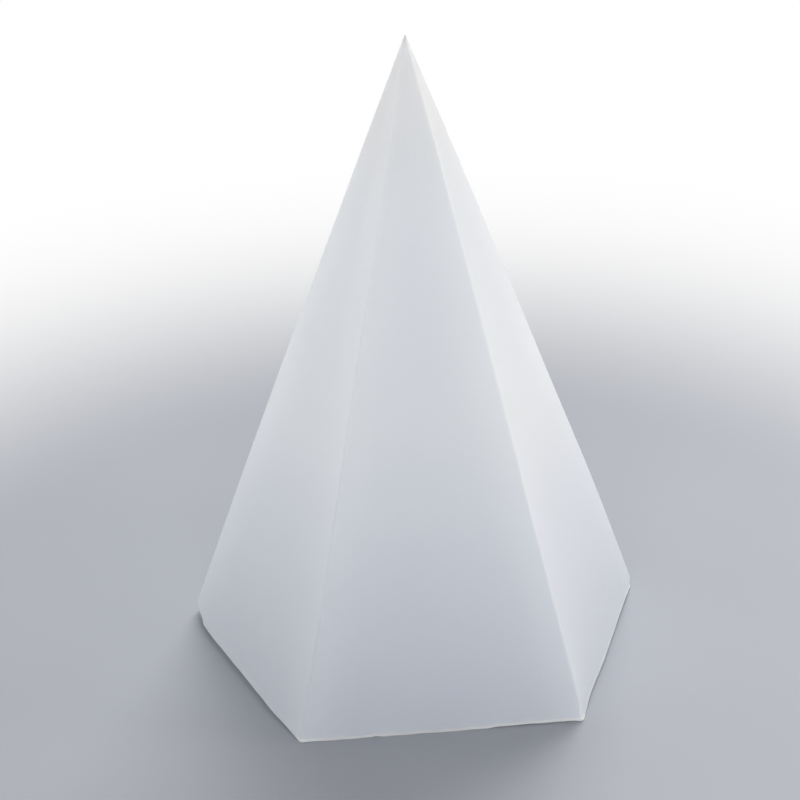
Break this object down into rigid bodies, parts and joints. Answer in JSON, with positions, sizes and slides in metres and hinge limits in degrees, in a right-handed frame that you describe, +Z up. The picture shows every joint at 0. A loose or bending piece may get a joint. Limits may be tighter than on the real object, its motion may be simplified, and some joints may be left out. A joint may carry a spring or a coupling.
{
  "type": "resin casting mould",
  "caption": "Tall pentagonal pyramid mould in flexible translucent silicone, closed at the point, with an open mouth that takes poured resin.",
  "frame": {"origin": "centre of the open mouth, in the plane of the rim that the mould stands on", "axes": "+Z up the pyramid's axis to the closed point; -Y square out of the wall that faces the viewer; +Y towards the corner opposite that wall"},
  "size_m": [0.1032, 0.0982, 0.15],
  "materials": {
    "silicone": "satin, milky translucent"
  },
  "bodies": {
    "root": {"silicone_mould": "silicone"}
  },
  "joints": []
}
